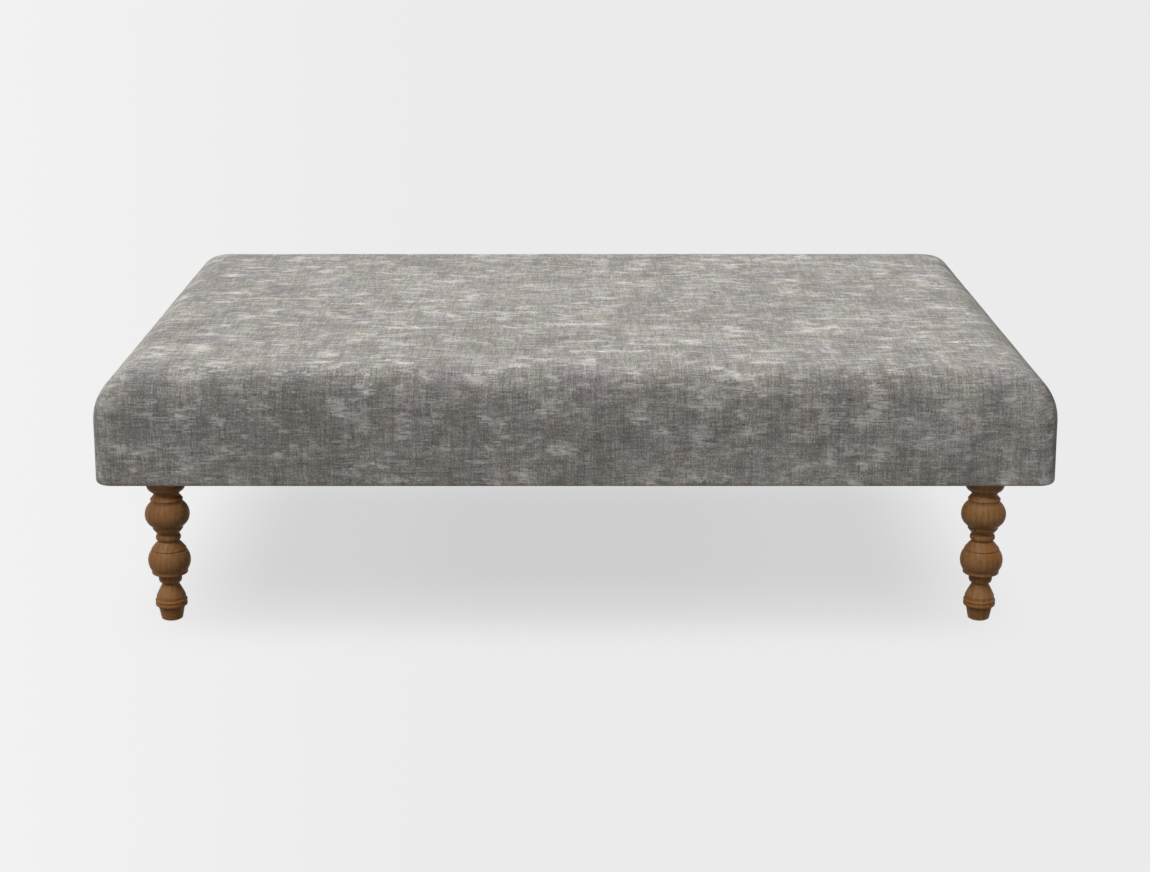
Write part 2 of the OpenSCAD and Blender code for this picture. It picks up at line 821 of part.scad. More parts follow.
at_leg(FRONT_LEFT) turned_leg();  // leg_front_left
at_leg(FRONT_RIGHT) turned_leg();  // leg_front_right
at_leg(REAR_LEFT) turned_leg();  // leg_rear_left
at_leg(REAR_RIGHT) turned_leg();  // leg_rear_right
foot_glides();
hanger_bolts();
leg_plate(FRONT_LEFT);  // leg_plate_front_left
leg_plate(FRONT_RIGHT);  // leg_plate_front_right
leg_plate(REAR_LEFT);  // leg_plate_rear_left
leg_plate(REAR_RIGHT);  // leg_plate_rear_right
plate_screws();
corner_block(FRONT_LEFT);  // corner_block_front_left
corner_block(FRONT_RIGHT);  // corner_block_front_right
corner_block(REAR_LEFT);  // corner_block_rear_left
corner_block(REAR_RIGHT);  // corner_block_rear_right
long_rail(-1);  // front_rail
long_rail(1);  // rear_rail
side_rail(-1);  // left_rail
side_rail(1);  // right_rail
middle_rail();
frame_dowels();
frame_screws();
lengthwise_webbing();
crosswise_webbing();
hessian();
foam_pad();
wadding();
fabric_cover();
dust_cover();
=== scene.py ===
# Looks of an upholstered footstool on turned legs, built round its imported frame
import json
import math
from functools import partial

import bpy
import numpy as np
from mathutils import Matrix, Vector, noise

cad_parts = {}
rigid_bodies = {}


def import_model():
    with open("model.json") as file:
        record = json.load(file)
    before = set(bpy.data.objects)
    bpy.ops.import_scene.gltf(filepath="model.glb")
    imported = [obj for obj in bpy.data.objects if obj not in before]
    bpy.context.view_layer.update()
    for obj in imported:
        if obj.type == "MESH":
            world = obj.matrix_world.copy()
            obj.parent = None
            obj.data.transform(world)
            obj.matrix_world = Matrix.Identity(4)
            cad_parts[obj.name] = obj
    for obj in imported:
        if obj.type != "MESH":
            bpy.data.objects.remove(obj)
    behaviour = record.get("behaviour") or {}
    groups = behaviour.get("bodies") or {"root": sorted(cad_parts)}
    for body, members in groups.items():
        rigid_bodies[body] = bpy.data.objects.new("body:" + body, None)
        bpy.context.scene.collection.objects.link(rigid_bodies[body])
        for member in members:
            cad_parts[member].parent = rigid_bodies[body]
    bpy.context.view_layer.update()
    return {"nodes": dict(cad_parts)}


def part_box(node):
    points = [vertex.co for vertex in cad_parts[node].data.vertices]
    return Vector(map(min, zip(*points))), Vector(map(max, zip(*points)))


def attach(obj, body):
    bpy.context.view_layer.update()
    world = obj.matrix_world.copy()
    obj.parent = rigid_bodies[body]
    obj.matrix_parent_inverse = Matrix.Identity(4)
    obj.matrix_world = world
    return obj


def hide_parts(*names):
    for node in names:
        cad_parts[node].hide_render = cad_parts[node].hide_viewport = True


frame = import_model()
nodes = frame["nodes"]
mm = 0.001
print("frame loaded:", len(nodes), "nodes")

# Camera, as the photograph's
cameraFacts = {
    "place": (0.0, -2.56794, 0.83683),
    "pitchDown": 15.501,  # degrees below level
    "lens": 69.963,  # on a sensor 36 wide
    "shift": (-0.00034, 0.00081),
}


def addObject(name, data):
    thing = bpy.data.objects.new(name, data)
    bpy.context.scene.collection.objects.link(thing)
    return thing


def makeCamera(facts):
    data = bpy.data.cameras.new("camera")
    data.lens = facts["lens"]
    data.sensor_width = 36
    data.shift_x, data.shift_y = facts["shift"]
    data.clip_end = 200
    camera = addObject("camera", data)
    camera.location = facts["place"]
    camera.rotation_euler = (math.radians(90 - facts["pitchDown"]), 0, 0)
    bpy.context.scene.camera = camera


makeCamera(cameraFacts)
bpy.context.scene.view_settings.view_transform = "Standard"
print("camera made")


def addPiece(name, points, faces):
    mesh = bpy.data.meshes.new(name)
    mesh.from_pydata(points, [], faces)
    mesh.shade_smooth()
    return addObject(name, mesh)


# Helpers for node trees
def feed(tree, socket, value):
    # gives a socket another node's output or a plain value
    if isinstance(value, bpy.types.NodeSocket):
        tree.links.new(value, socket)
    else:
        socket.default_value = (*value, 1) if socket.type == "RGBA" else value


def makeNode(tree, kind, inputs=None, **settings):
    node = tree.nodes.new(kind)
    for name, value in settings.items():
        setattr(node, name, value)
    for socket, value in (inputs or {}).items():
        feed(tree, node.inputs[socket], value)
    return node.outputs


def math2(tree, operation, a, b=0, clamp=False):
    return makeNode(tree, "ShaderNodeMath", {0: a, 1: b}, operation=operation, use_clamp=clamp)[0]


def mathFor(tree):
    # makers of math nodes in one tree: any operation, then adding, subtracting and multiplying
    work = partial(math2, tree)
    return (work, *(partial(work, operation) for operation in ("ADD", "SUBTRACT", "MULTIPLY")))


def spread(tree, value, low, high, outLow=0.0, outHigh=1.0):
    # eases from one output to the other while the value goes from low to high
    inputs = {"Value": value, "From Min": low, "From Max": high, "To Min": outLow, "To Max": outHigh}
    return makeNode(tree, "ShaderNodeMapRange", inputs, interpolation_type="SMOOTHSTEP")[0]


def weighted(tree, start, terms):
    # start plus each value's distance from a half times its weight
    _, plus, minus, times = mathFor(tree)
    for value, weight in terms:
        start = plus(times(minus(value, 0.5), weight), start)
    return start


def vectorOf(tree, **axes):
    return makeNode(tree, "ShaderNodeCombineXYZ", axes)[0]


def axesOf(tree, vector):
    return makeNode(tree, "ShaderNodeSeparateXYZ", {0: vector})


def objectPlace(tree):
    return makeNode(tree, "ShaderNodeTexCoord")["Object"]


def noiseAt(tree, vector, size, detail=2.0, rough=0.5, shift=(0, 0, 0), flat=False):
    # soft noise, its lumps about this size in mm
    scale = [1 / (s * mm) for s in size]
    place = makeNode(tree, "ShaderNodeMapping", {"Vector": vector, "Location": shift, "Scale": scale})[0]
    inputs = {"Vector": place, "Scale": 1.0, "Detail": detail, "Roughness": rough}
    return makeNode(tree, "ShaderNodeTexNoise", inputs, noise_dimensions="2D" if flat else "3D")[0]


def wavesAt(tree, vector, scale, axis, bent, shift=0):
    inputs = {"Vector": vector, "Scale": scale, "Distortion": bent, "Detail": 1.0, "Phase Offset": shift}
    return makeNode(tree, "ShaderNodeTexWave", inputs, bands_direction=axis)["Fac"]


def mixColor(tree, factor, a, b, blend="MIX"):
    return makeNode(tree, "ShaderNodeMix", {0: factor, 6: a, 7: b}, data_type="RGBA", blend_type=blend)[2]


def mixLook(tree, shade, look):
    return mixColor(tree, shade, look["dark"], look["light"])


def mixShaders(tree, factor, a, b):
    return makeNode(tree, "ShaderNodeMixShader", {0: factor, 1: a, 2: b})[0]


def makeRamp(tree, value, look, low, middle, high):
    # the look's dark, mid and light colours at three levels of the value
    ramp = tree.nodes.new("ShaderNodeValToRGB")
    stops = ramp.color_ramp.elements
    stops[0].position, stops[0].color = low, (*look["dark"], 1)
    stops[1].position, stops[1].color = high, (*look["light"], 1)
    stops.new(middle).color = (*look["mid"], 1)
    tree.links.new(value, ramp.inputs[0])
    return ramp.outputs[0]


def newTree(name, kind, inputs):
    # inputs holds the kind of each input socket
    tree = bpy.data.node_groups.new(name, kind)
    for label, socketKind in inputs.items():
        tree.interface.new_socket(label, in_out="INPUT", socket_type=socketKind)
    return tree, tree.nodes.new("NodeGroupInput").outputs


def endTree(tree, outputs, socketKind="NodeSocketFloat"):
    for label in outputs:
        tree.interface.new_socket(label, in_out="OUTPUT", socket_type=socketKind)
    end = tree.nodes.new("NodeGroupOutput")
    for label, source in outputs.items():
        tree.links.new(source, end.inputs[label])


def newMaterial(name, shaderValues):
    material = bpy.data.materials.new(name)
    material.use_nodes = True
    tree = material.node_tree
    shader = tree.nodes["Principled BSDF"].inputs
    for socket, value in shaderValues.items():
        shader[socket].default_value = value
    return material, tree, shader


def paint(tree, shader, color, height, depth, strength):
    # colour, and a bump of this depth in mm
    bump = {"Height": height, "Distance": depth * mm, "Strength": strength}
    feed(tree, shader["Base Color"], color)
    feed(tree, shader["Normal"], makeNode(tree, "ShaderNodeBump", bump)[0])


# Light, floor and background
studio = {
    "sky": 0.24,  # brightness of the even light from all round
    "lamps": {
        # brightness on a surface that faces the lamp, degrees round from the front, up, and across
        "key": {"bright": 0.99, "round": -138, "up": 46, "wide": 38, "lights": ["soft"]},
        "fill": {"bright": 0.34, "round": -28, "up": 30, "wide": 60, "lights": ["soft"]},
        "under": {"bright": 0.13, "round": 0, "up": -75, "wide": 60, "lights": ["soft"],
                  "shadowsOf": ["legs"]},
        "legs": {"bright": 0.455, "round": -29, "up": 55, "wide": 30, "lights": ["legs"],
                 "shadowsOf": ["legs", "plates"]},
        "above": {"bright": 0.92, "round": 0, "up": 89, "wide": 44, "lights": ["floor"]},
    },
    "pale": (0.833, 0.833, 0.833),
    "paler": (0.889, 0.889, 0.889),
    # the floor pales to the left of lines that fan out from a point in front
    "pointInFront": 2.80,  # metres from the middle
    "palerSide": (0.025, 0.285),  # slopes of the lines where the floor starts and ends to pale
    "palerNear": 1.60,  # metres from the point where the lines stop closing up
    "palerFar": (12, 30),  # metres from the middle where this starts to fade and is gone
    "shadowShown": 0.27,  # share of the floor's tone that shadows can darken
    "shadowWide": (0.33, 0.53),  # metres from the middle where that share starts and stops to fade, along X
    "shadowDeep": (0.11, 0.50),  # and along Y
    "shadowMiddle": (0.10, 0.25, 0.93),  # where along X the deepest middle ends, and the share beside it
    "bounce": (0.075, 0.073, 0.07),  # the floor's colour for the light it throws back
    "floorSize": 80.0,
}


def linkedSet(name, wanted, groups):
    # a set of objects for a lamp: the wanted groups alone, or all but the floor and legs
    chosen = bpy.data.collections.new(name)
    state = "INCLUDE"
    if wanted == ["soft"]:
        wanted, state = ["legs", "floor"], "EXCLUDE"
    for group in wanted:
        for piece in groups[group]:
            chosen.objects.link(piece)
            chosen.collection_objects[len(chosen.objects) - 1].light_linking.link_state = state
    return chosen


def makeLamp(name, facts, groups):
    lamp = bpy.data.lights.new(name, "SUN")
    lamp.energy = facts["bright"] * math.pi
    lamp.angle = math.radians(facts["wide"])
    holder = addObject(name, lamp)
    holder.rotation_euler = (math.radians(90 - facts["up"]), 0, math.radians(facts["round"]))
    linking = holder.light_linking
    linking.receiver_collection = linkedSet(name + "Lights", facts["lights"], groups)
    if "shadowsOf" in facts:
        linking.blocker_collection = linkedSet(name + "Shadows", facts["shadowsOf"], groups)


def directRays(tree):
    path = makeNode(tree, "ShaderNodeLightPath")
    direct = math2(tree, "MAXIMUM", path["Is Camera Ray"], path["Is Transmission Ray"])
    return math2(tree, "MAXIMUM", direct, path["Is Glossy Ray"])


def emptyTree(owner):
    owner.use_nodes = True
    owner.node_tree.nodes.clear()
    return owner.node_tree


def makeSky(facts):
    world = bpy.data.worlds.new("studio")
    bpy.context.scene.world = world
    tree = emptyTree(world)
    lit = makeNode(tree, "ShaderNodeBackground", {"Color": (1, 1, 1), "Strength": facts["sky"]})[0]
    seen = makeNode(tree, "ShaderNodeBackground", {"Color": facts["pale"], "Strength": 1})[0]
    makeNode(tree, "ShaderNodeOutputWorld", {0: mixShaders(tree, directRays(tree), lit, seen)})


def makeFloorMaterial(facts):
    material = bpy.data.materials.new("paleFloor")
    tree = emptyTree(material)
    work, plus, _, times = mathFor(tree)
    place = objectPlace(tree)
    axes = axesOf(tree, place)
    away =work("MAXIMUM", plus(axes["Y"], facts["pointInFront"]), facts["palerNear"])
    slope = work("DIVIDE", times(axes["X"], -1), away)
    distance = makeNode(tree, "ShaderNodeVectorMath", {0: place}, operation="LENGTH")["Value"]
    near = spread(tree, distance, *facts["palerFar"], 1.0, 0.0)
    left = times(spread(tree, slope, *facts["palerSide"]), near)
    tone = mixColor(tree, left, facts["pale"], facts["paler"])

    across = work("ABSOLUTE", axes["X"])
    start, end, beside = facts["shadowMiddle"]
    middle = spread(tree, across, start, end, 1.0, beside)
    wide = times(spread(tree, across, *facts["shadowWide"], 1.0, 0.0), middle)
    deep = spread(tree, work("ABSOLUTE", axes["Y"]), *facts["shadowDeep"], 1.0, 0.0)
    even = makeNode(tree, "ShaderNodeEmission", {"Color": tone, "Strength": 1})[0]
    shaded = makeNode(tree, "ShaderNodeBsdfDiffuse", {"Color": tone})[0]
    shown = mixShaders(tree, times(times(wide, deep), facts["shadowShown"]), even, shaded)
    bounce = makeNode(tree, "ShaderNodeBsdfDiffuse", {"Color": facts["bounce"]})[0]
    seen = mixShaders(tree, directRays(tree), bounce, shown)
    # seen from below, the floor lets the object show
    below = makeNode(tree, "ShaderNodeNewGeometry")["Backfacing"]
    clear = makeNode(tree, "ShaderNodeBsdfTransparent")[0]
    makeNode(tree, "ShaderNodeOutputMaterial", {0: mixShaders(tree, below, seen, clear)})
    return material


def makeStudio(facts):
    makeSky(facts)
    half = facts["floorSize"] / 2
    corners = [(-half, -half, 0), (half, -half, 0), (half, half, 0), (-half, half, 0)]
    floor = addPiece("floor", corners, [(0, 1, 2, 3)])
    floor.data.materials.append(makeFloorMaterial(facts))

    def nodesCalled(*starts):
        return [node for name, node in nodes.items() if name.startswith(starts)]

    groups = {
        "floor": [floor],
        "legs": nodesCalled("leg_front", "leg_rear", "foot_glides"),
        "plates": nodesCalled("leg_plate"),
    }
    for name, lampFacts in facts["lamps"].items():
        makeLamp(name + "Lamp", lampFacts, groups)


makeStudio(studio)
print("studio made")

# Cover fabric
fabricLook = {
    "dark": (0.154, 0.146, 0.135),
    "mid": (0.311, 0.2965, 0.276),
    "light": (0.63, 0.607, 0.570),
    "slub": (0.76, 0.737, 0.698),
    "cool": (0.992, 0.988, 1.012),
    "warm": (1.010, 1.0, 0.970),
    "rosy": (1.012, 0.99, 1.003),
    "leafy": (0.99, 1.005, 0.995),
    # sets of threads: the axis they run along, length and width of a stretch of tone in mm, shift
    "threads": {
        "weft": ("X", 14, 0.9, 3),
        "warp": ("Y", 18, 0.9, 211),
        "weftGroup": ("X", 22, 5.2, 37),
        "weftPair": ("X", 17, 2.3, 61),
        "warpGroup": ("Y", 48, 7.0, 83),
        "warpPair": ("Y", 36, 2.7, 97),
        "weftBand": ("X", 80, 13, 17),
        "warpBand": ("Y", 110, 19, 23),
        "weftFray": ("X", 14, 1.6, 307),
        "warpFray": ("Y", 14, 1.8, 311),
        "streak": ("X", 15, 4.6, 131),
        "inner": ("X", 12, 1.6, 151),
    },
    "fray": {"X": 13, "Y": 5},  # how far apart the threads of a patch can end, in mm
    # patches of soft noise: length and width in mm, detail, roughness, shift
    "patches": {
        "patch": (46, 52, 1, 0.5, 4, 7),
        "broad": (180, 150, 0, 0.5, 3, 1),
        "grain": (1.3, 2.6, 0, 0.5, 9, 2),
        "place": (60, 30, 1, 0.5, 2, 5),
        "cloud": (23, 16, 0, 0.5, 3, 9),
        "warmth": (42, 70, 1, 0.4, 1, 3),
        "hue": (32, 60, 1, 0.4, 6, 8),
    },
    "toneWeights": {
        "weft": 0.31, "warp": 0.24, "shown": 0.37, "weftGroup": 0.26, "weftPair": 0.22, "warpGroup": 0.16,
        "warpPair": 0.23, "patch": 0.15, "broad": 0.09, "grain": 0.46, "weftBand": 0.16, "warpBand": 0.14,
    },
    "clusterWeights": {"weftBand": 0.55, "warpBand": 0.75, "patch": 0.5},
    "heightWeights": {"raised": 0.6, "weft": 0.7, "warp": 1.6, "slub": 0.5},
    # values at which each part of a slub or a pale patch starts and is full
    "edges": {
        "streak": (0.53, 0.72), "inner": (0.36, 0.62), "place": (0.35, 0.60), "cluster": (0.38, 0.62),
        "cloud": (0.59, 0.71),
    },
    "slubShare": 0.5,
    "paleShare": 0.39,
    "paleBetween": 0.6,  # how much a pale patch shows between its slubs
}


def makeThreadGroup():
    # tone along each thread of a set that runs along U, each thread straight and unlike its neighbours
    kinds = dict.fromkeys(("U", "V", "Long", "Wide", "Shift"), "NodeSocketFloat")
    tree, given = newTree("threadRows", "ShaderNodeTree", kinds)
    work, plus, minus, times = mathFor(tree)
    across = work("DIVIDE", given["V"], times(given["Wide"], mm))
    row = work("FLOOR", across)
    seed = {"W": plus(row, given["Shift"])}
    chance = makeNode(tree, "ShaderNodeTexWhiteNoise", seed, noise_dimensions="1D")["Value"]
    along = work("DIVIDE", given["U"], times(given["Long"], mm))
    # each thread takes its tone from another part of the noise
    spot = vectorOf(tree, X=plus(along, times(chance, 37)), Y=plus(row, plus(given["Shift"], 0.5)))
    inputs = {"Vector": spot, "Scale": 1.0, "Detail": 1.0, "Roughness": 0.55}
    tone = makeNode(tree, "ShaderNodeTexNoise", inputs, noise_dimensions="2D")[0]
    middle = minus(times(work("FRACT", across), 2), 1)
    endTree(tree, {"Tone": tone, "Row": row, "Chance": chance, "Round": minus(1, times(middle, middle))})
    return tree


def makeSlubGroup(look):
    # a slubby weave on flat cloth coordinates in metres, threads along X and Y
    tree, given = newTree("slubWeave", "ShaderNodeTree", {"Cloth": "NodeSocketVector"})
    work, plus, minus, times = mathFor(tree)
    axes = axesOf(tree, given["Cloth"])
    rows = makeThreadGroup()

    def threads(name, source=axes):
        u, long, wide, shift = look["threads"][name]
        v = "Y" if u == "X" else "X"
        inputs = {"U": source[u], "V": source[v], "Long": long, "Wide": wide, "Shift": shift}
        return makeNode(tree, "ShaderNodeGroup", inputs, node_tree=rows)

    def patches(name, source=given["Cloth"]):
        long, wide, detail, rough, x, y = look["patches"][name]
        return noiseAt(tree, source, (long, wide, 1), detail, rough, (x, y, 0), flat=True)

    def pick(factor, a, b):
        return makeNode(tree, "ShaderNodeMix", {0: factor, "A": a, "B": b}, data_type="FLOAT")[0]

    def total(weights):
        return weighted(tree, 0.5, [(parts[name], weight) for name, weight in look[weights].items()])

    def edged(name, value):
        return spread(tree, value, *look["edges"][name])

    # each thread starts a little early or late, so a patch of tone has frayed ends
    ends = {}
    for axis, name in (("X", "weftFray"), ("Y", "warpFray")):
        early = times(minus(threads(name)["Chance"], 0.5), look["fray"][axis] * mm)
        ends[axis] = plus(axes[axis], early)
    frayed = vectorOf(tree, **ends)

    weft, warp = threads("weft"), threads("warp")
    parity = work("FLOORED_MODULO", plus(weft["Row"], warp["Row"]), 2)
    parts = {
        "weft": weft["Tone"],
        "warp": warp["Tone"],
        "shown": pick(parity, weft["Tone"], warp["Tone"]),
        "raised": pick(parity, weft["Round"], warp["Round"]),
        "patch": patches("patch", frayed),
        "broad": patches("broad"),
        "grain": patches("grain"),
    }
    for name in ("weftGroup", "weftPair", "warpGroup", "warpPair"):
        parts[name] = threads(name)["Tone"]
    for name in ("weftBand", "warpBand"):
        parts[name] = threads(name, ends)["Tone"]

    streak, inner = (edged(name, threads(name)["Tone"]) for name in ("streak", "inner"))
    slub = times(times(streak, inner), edged("place", patches("place")))
    cluster = edged("cluster", total("clusterWeights"))
    cloud = edged("cloud", patches("cloud", frayed))
    pale = times(times(cloud, cluster), plus(inner, look["paleBetween"]))
    slub = plus(times(slub, look["slubShare"]), times(pale, look["paleShare"]), clamp=True)
    parts["slub"] = slub
    endTree(tree, {
        "Tone": total("toneWeights"), "Slub": slub, "Warmth": patches("warmth"), "Hue": patches("hue"),
        "Height": total("heightWeights"),
    })
    return tree


def makeCoverMaterial(look):
    material, tree, shader = newMaterial("greySlubFabric", {"Roughness": 0.9, "Specular IOR Level": 0.1})
    cloth = makeNode(tree, "ShaderNodeUVMap", uv_map="cloth")[0]
    weave = makeNode(tree, "ShaderNodeGroup", {"Cloth": cloth}, node_tree=makeSlubGroup(look))
    color = makeRamp(tree, weave["Tone"], look, 0.1, 0.5, 0.9)
    color = mixColor(tree, weave["Slub"], color, look["slub"])
    for output, first, second in (("Warmth", "cool", "warm"), ("Hue", "rosy", "leafy")):
        tint = mixColor(tree, spread(tree, weave[output], 0.3, 0.7), look[first], look[second])
        color = mixColor(tree, 1.0, color, tint, "MULTIPLY")
    paint(tree, shader, color, weave["Height"], 0.35, 0.5)
    return material


# Soft layers, from the foam out to the cover, each built from rounded-rectangle rings
layers = {
    "foamRoundIn": 37 * mm,  # how far the foam's rounded top edge reaches in
    "foamUpright": 3.5 * mm,  # height of its plain side under that
    "foamCorner": 13 * mm,
    "foamTopCorner": 2 * mm,
    "frameCorner": 9 * mm,
    "sideWadding": 8 * mm,
    "topWadding": 6.5 * mm,
    "clothThick": 1.5 * mm,
    "gap": 0.3 * mm,  # between the wadding and its neighbours
    "crown": 2 * mm,  # how much higher the middle of the seat is
    "underEdge": 4.6 * mm,  # radius of the cover's lower edge
    "rollSteps": 22,
    "cornerSteps": 12,
    "underSteps": 6,
}

foamLow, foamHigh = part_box("foam_pad")
coverLow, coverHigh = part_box("fabric_cover")
frameHalf = Vector(((foamHigh.x - foamLow.x) / 2, (foamHigh.y - foamLow.y) / 2))


def smooth(t):
    t = min(max(t, 0.0), 1.0)
    return t * t * (3 - 2 * t)


# A row is one ring: half width, half depth, corner radius, height
def rollRows(facts, out, above):
    rows = []
    drop = facts["foamCorner"] - facts["foamTopCorner"]
    start = foamLow.z + facts["foamUpright"]
    rise = foamHigh.z - facts["crown"] - start + above
    for i in range(facts["rollSteps"] + 1):
        turn = math.pi / 2 * i / facts["rollSteps"]
        inset = (facts["foamRoundIn"] + out) * (1 - math.cos(turn))
        radius = facts["foamTopCorner"] + out + drop * math.exp(-inset / drop)
        z = start + rise * math.sin(turn)
        rows.append((frameHalf.x + out - inset, frameHalf.y + out - inset, radius, z))
    return rows


def sideRows(facts, out, low, high, steps):
    rows = []
    for i in range(steps):
        share = i / steps
        radius = facts["frameCorner"] + (facts["foamCorner"] - facts["frameCorner"]) * smooth(share) + out
        rows.append((frameHalf.x + out, frameHalf.y + out, radius, low + (high - low) * share))
    return rows


def underRows(facts, out, edge):
    rows = []
    for i in range(facts["underSteps"]):
        turn = math.pi / 2 * i / facts["underSteps"]
        inset = edge * (1 - math.sin(turn))
        radius = facts["frameCorner"] + out - inset
        z = coverLow.z + facts["underEdge"] - edge * math.cos(turn)
        rows.append((frameHalf.x + out - inset, frameHalf.y + out - inset, radius, z))
    return rows


def ringPlan(facts, row, step):
    # how many steps each side gets, and for each point: its side, its share along it, its share of the corner
    counts = [max(2, round(2 * half / step)) for half in (row[0], row[1], row[0], row[1])]
    corner = facts["cornerSteps"]
    plan = []
    for side in range(4):
        plan += [(side, i / counts[side], 0.0) for i in range(counts[side])]
        plan += [(side, 1.0, i / corner) for i in range(corner)]
    return counts, plan


sideOut = [Vector((0, -1)), Vector((1, 0)), Vector((0, 1)), Vector((-1, 0))]
sideAlong = sideOut[1:] + sideOut[:1]


def ringPoint(spot, row):
    side, share, turn = spot
    halfX, halfY, radius, z = row
    out, along = sideOut[side], sideAlong[side]
    reachOut = halfY if side % 2 == 0 else halfX
    reachAlong = (halfX if side % 2 == 0 else halfY) - radius
    angle = turn * math.pi / 2
    place = along * (reachAlong * (2 * share - 1)) + out * (reachOut - radius)
    return (*(place + radius * (out * math.cos(angle) + along * math.sin(angle))), z)


def capRing(facts, points, faces, first, counts, row, rise, upward):
    # fills a ring with a grid whose corners are the middles of the ring's rounded corners
    around = sum(counts) + 4 * facts["cornerSteps"]
    half = facts["cornerSteps"] // 2
    wide, deep = counts[0] + 2 * half, counts[1] + 2 * half
    front = [(i - half) % around for i in range(wide + 1)]
    right = [(wide - half + i) % around for i in range(deep + 1)]
    back = [(2 * wide + deep - half - i) % around for i in range(wide + 1)]
    left = [(-half - i) % around for i in range(deep + 1)]
    ring = np.array([points[first + j][:2] for j in range(around)])
    index = np.full((wide + 1, deep + 1), -1)
    index[:, 0], index[:, -1] = front, back
    index[0, :], index[-1, :] = left, right
    index[index >= 0] += first
    for i in range(1, wide):
        for j in range(1, deep):
            u, v = i / wide, j / deep
            across = (1 - v) * ring[front[i]] + v * ring[back[i]]
            across = across + (1 - u) * ring[left[j]] + u * ring[right[j]]
            ends =((1 - u) * (1 - v) * ring[front[0]] + u * (1 - v) * ring[front[-1]]
                    + (1 - u) * v * ring[back[0]] + u * v * ring[back[-1]])
            x, y = across - ends
            lift = rise * (1 - (x / row[0]) ** 2) * (1 - (y / row[1]) ** 2)
            index[i, j] = len(points)
            points.append((x, y, row[3] + lift))
    for i in range(wide):
        for j in range(deep):
            face = [int(index[a, b]) for a, b in ((i, j), (i + 1, j), (i + 1, j + 1), (i, j + 1))]
            faces.append(face if upward else face[::-1])


def ringedPiece(name, facts, rows, step, startRise=None, endRise=None):
    # a skin over a chain of rings; a rise closes that end with a grid this much higher in the middle
    counts, plan = ringPlan(facts, rows[-1], step)
    around = len(plan)
    points = [ringPoint(spot, row) for row in rows for spot in plan]
    faces = []
    for i in range(len(rows) - 1):
        for j in range(around):
            k = (j + 1) % around
            faces.append((i * around + j, i * around + k, (i + 1) * around + k, (i + 1) * around + j))
    if endRise is not None:
        capRing(facts, points, faces, (len(rows) - 1) * around, counts, rows[-1], endRise, True)
    if startRise is not None:
        capRing(facts, points, faces, 0, counts, rows[0], startRise, False)
    return addPiece(name, points, faces), plan


def finishModifiers(piece):
    # turns a piece with live modifiers into a plain mesh
    bpy.context.view_layer.update()
    graph = bpy.context.evaluated_depsgraph_get()
    shaped = piece.evaluated_get(graph)
    mesh = bpy.data.meshes.new_from_object(shaped, preserve_all_data_layers=True, depsgraph=graph)
    old = piece.data
    piece.modifiers.clear()
    piece.data = mesh
    bpy.data.meshes.remove(old)
    mesh.name = piece.name


def thicken(piece, thickness, offset, sharpFrom=60):
    # sharpFrom, in degrees, is the least turn between faces that shows as an edge
    modifier = piece.modifiers.new("thicken", "SOLIDIFY")
    modifier.thickness = thickness
    modifier.offset = offset
    finishModifiers(piece)
    piece.data.set_sharp_from_angle(angle=math.radians(sharpFrom))


def dress(piece, material, nodeName):
    piece.data.materials.clear()
    piece.data.materials.append(material)
    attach(piece, "root")
    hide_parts(nodeName)


# Cover: one cloth over the top, down the sides and under the frame
cover = {
    "hemWide": 30 * mm,
    "hemCorner": 3 * mm,
    "hemSteps": 4,
    "sideSteps": 8,
    "meshStep": 8 * mm,
    # how far down the skirt the weave goes fully round the corners, and lies level all round
    "roundBy": 25 * mm,
    "levelBy": 60 * mm,
    "uneven": 0.6 * mm,  # how far the taut cloth swells over the padding
    "evenSwell": 0.2,
    "swells": ((8, 0.4), (21, 0.2)),  # lumps in a metre, and how much they count
    "hemFade": 45 * mm,  # full swell from this far over the hem
}


def coverRows(facts, soft):
    out = soft["sideWadding"] + soft["clothThick"]
    under = underRows(soft, out, soft["underEdge"])
    hem = (coverHigh.x - facts["hemWide"], coverHigh.y - facts["hemWide"], facts["hemCorner"], coverLow.z)
    hemRows = []
    for i in range(facts["hemSteps"]):
        share = i / facts["hemSteps"]
        hemRows.append(tuple(a + (b - a) * share for a, b in zip(hem, under[0])))
    roll = rollRows(soft, out, soft["topWadding"] + soft["clothThick"])
    side = sideRows(soft, out, coverLow.z + soft["underEdge"], roll[0][3], facts["sideSteps"])
    return hemRows + under + side + roll


def clothPoint(facts, spot, nearSide, row, down, flatRow):
    # where a point of the skirt lies on the cloth laid flat, seen as part of one side
    side, share, turn = spot
    halfX, halfY, radius, z = row
    out, along = sideOut[nearSide], sideAlong[nearSide]
    reachAlong = (halfX if nearSide % 2 == 0 else halfY) - radius
    flatOut = flatRow[1] if nearSide % 2 == 0 else flatRow[0]
    if nearSide == side:
        angle, end = turn * math.pi / 2, reachAlong * (2 * share - 1)
    else:
        angle, end = (turn - 1) * math.pi / 2, -reachAlong
    sweep = math.sin(angle) + (angle - math.sin(angle)) * smooth(down / facts["roundBy"])
    bent = 1 - smooth(down / facts["levelBy"])
    outward = flatOut + down - flatRow[2] * (1 - math.cos(angle)) * bent
    return along * (end + radius * sweep) + out * outward


